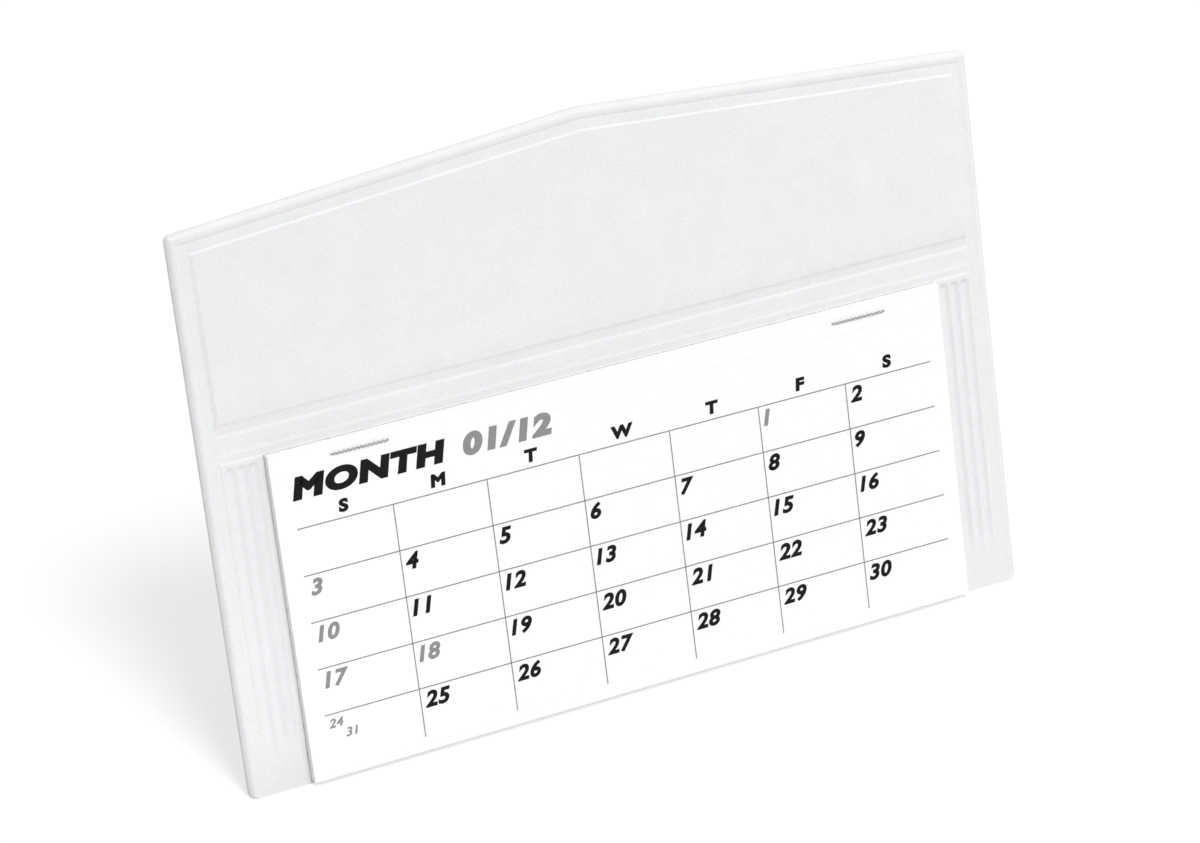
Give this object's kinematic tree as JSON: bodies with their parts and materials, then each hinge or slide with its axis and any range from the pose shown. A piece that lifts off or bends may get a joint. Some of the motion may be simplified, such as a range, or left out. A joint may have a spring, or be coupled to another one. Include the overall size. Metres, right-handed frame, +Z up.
{
  "type": "desk calendar",
  "caption": "Standing desk calendar: embossed white vinyl holder with a gabled top on a folding easel leg, carrying a wire-stitched pad of tear-off month leaves.",
  "frame": {"origin": "on the desk, under the middle of the standing calendar's footprint", "axes": "+Z up, +X across the width, the printed front faces -Y and leans back"},
  "size_m": [0.197, 0.0592, 0.1313],
  "materials": {
    "white_vinyl": "satin",
    "pad_paper": "matte",
    "grey_card": "matte",
    "chipboard": "matte",
    "steel_wire": "satin",
    "black_ink": "matte",
    "grey_ink": "matte"
  },
  "bodies": {
    "holder": {"front_cover": "white_vinyl", "panel_board": "chipboard", "back_cover": "white_vinyl", "pad_card": "grey_card", "sheet_stubs": "pad_paper", "staple_left": "steel_wire", "staple_right": "steel_wire", "hinge_strip_upper": "white_vinyl", "stay_strap": "white_vinyl"},
    "easel_leg": {"leg_board": "chipboard", "leg_inner_cover": "white_vinyl", "leg_outer_cover": "white_vinyl", "hinge_strip_lower": "white_vinyl"},
    "leaf_01": {"leaf_01": "pad_paper"},
    "leaf_02": {"leaf_02": "pad_paper"},
    "leaf_03": {"leaf_03": "pad_paper"},
    "leaf_04": {"leaf_04": "pad_paper"},
    "leaf_05": {"leaf_05": "pad_paper"},
    "leaf_06": {"leaf_06": "pad_paper"},
    "leaf_07": {"leaf_07": "pad_paper"},
    "leaf_08": {"leaf_08": "pad_paper"},
    "leaf_09": {"leaf_09": "pad_paper"},
    "leaf_10": {"leaf_10": "pad_paper"},
    "leaf_11": {"leaf_11": "pad_paper"},
    "leaf_12": {"leaf_12": "pad_paper"}
  },
  "joints": [
    {"name": "leg_fold", "type": "hinge", "parent": "holder", "child": "easel_leg", "pos_m": [0, 0.00132, 0.0962], "axis": [-1, 0, 0], "range_deg": [0, 30], "deforming": ["stay_strap"]},
    {"name": "leaf_12_lift", "type": "hinge", "parent": "holder", "child": "leaf_12", "pos_m": [0, -0.01149, 0.06889], "axis": [-1, 0, 0], "range_deg": [0, 3]},
    {"name": "leaf_11_lift", "type": "hinge", "parent": "leaf_12", "child": "leaf_11", "pos_m": [0, -0.01149, 0.06889], "axis": [-1, 0, 0], "range_deg": [0, 3]},
    {"name": "leaf_10_lift", "type": "hinge", "parent": "leaf_11", "child": "leaf_10", "pos_m": [0, -0.01149, 0.06889], "axis": [-1, 0, 0], "range_deg": [0, 3]},
    {"name": "leaf_09_lift", "type": "hinge", "parent": "leaf_10", "child": "leaf_09", "pos_m": [0, -0.01149, 0.06889], "axis": [-1, 0, 0], "range_deg": [0, 3]},
    {"name": "leaf_08_lift", "type": "hinge", "parent": "leaf_09", "child": "leaf_08", "pos_m": [0, -0.01149, 0.06889], "axis": [-1, 0, 0], "range_deg": [0, 3]},
    {"name": "leaf_07_lift", "type": "hinge", "parent": "leaf_08", "child": "leaf_07", "pos_m": [0, -0.01149, 0.06889], "axis": [-1, 0, 0], "range_deg": [0, 3]},
    {"name": "leaf_06_lift", "type": "hinge", "parent": "leaf_07", "child": "leaf_06", "pos_m": [0, -0.01149, 0.06889], "axis": [-1, 0, 0], "range_deg": [0, 3]},
    {"name": "leaf_05_lift", "type": "hinge", "parent": "leaf_06", "child": "leaf_05", "pos_m": [0, -0.01149, 0.06889], "axis": [-1, 0, 0], "range_deg": [0, 3]},
    {"name": "leaf_04_lift", "type": "hinge", "parent": "leaf_05", "child": "leaf_04", "pos_m": [0, -0.01149, 0.06889], "axis": [-1, 0, 0], "range_deg": [0, 3]},
    {"name": "leaf_03_lift", "type": "hinge", "parent": "leaf_04", "child": "leaf_03", "pos_m": [0, -0.01149, 0.06889], "axis": [-1, 0, 0], "range_deg": [0, 3]},
    {"name": "leaf_02_lift", "type": "hinge", "parent": "leaf_03", "child": "leaf_02", "pos_m": [0, -0.01149, 0.06889], "axis": [-1, 0, 0], "range_deg": [0, 3]},
    {"name": "leaf_01_lift", "type": "hinge", "parent": "leaf_02", "child": "leaf_01", "pos_m": [0, -0.01149, 0.06889], "axis": [-1, 0, 0], "range_deg": [0, 130]}
  ]
}
